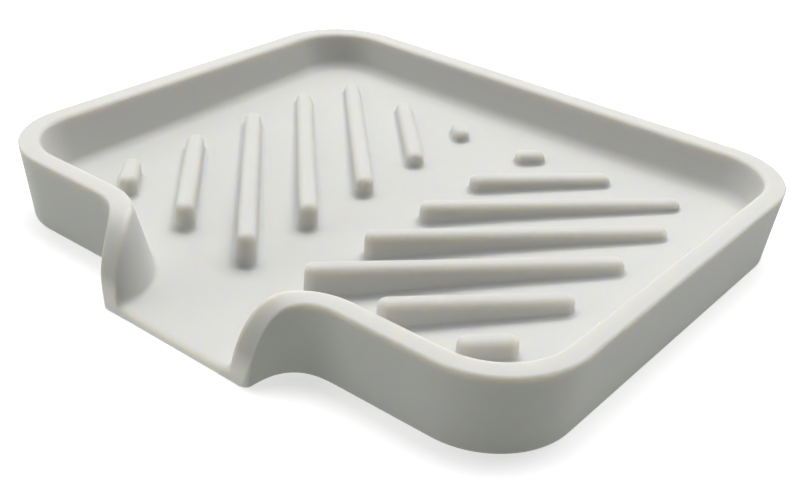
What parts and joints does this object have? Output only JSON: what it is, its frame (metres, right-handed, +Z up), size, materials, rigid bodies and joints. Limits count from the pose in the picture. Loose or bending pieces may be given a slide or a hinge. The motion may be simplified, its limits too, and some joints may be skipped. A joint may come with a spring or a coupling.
{
  "type": "soap dish",
  "caption": "Low rectangular self-draining soap dish with drafted walls, a flared pouring spout, a floor falling to it and diagonal ribs that keep the soap out of the water.",
  "frame": {"origin": "on the table, under the middle of the footprint that reaches from the pouring lip to the back of the rim", "axes": "+Z up, +Y from the spout to the back of the dish, +X to the right when looking from the spout to the back"},
  "size_m": [0.1202, 0.1061, 0.0147],
  "materials": {
    "silicone": "matte light warm-grey silicone rubber, soft to the touch, faintly paler and warmer along the thin edges"
  },
  "bodies": {
    "root": {"rim_wall": "silicone", "spout_cheek_left": "silicone", "spout_cheek_right": "silicone", "floor_pan": "silicone", "spout_lip": "silicone", "rib_left_1": "silicone", "rib_left_2": "silicone", "rib_left_3": "silicone", "rib_left_4": "silicone", "rib_left_5": "silicone", "rib_left_6": "silicone", "rib_left_7": "silicone", "rib_right_1": "silicone", "rib_right_2": "silicone", "rib_right_3": "silicone", "rib_right_4": "silicone", "rib_right_5": "silicone", "rib_right_6": "silicone", "rib_right_7": "silicone"}
  },
  "joints": []
}
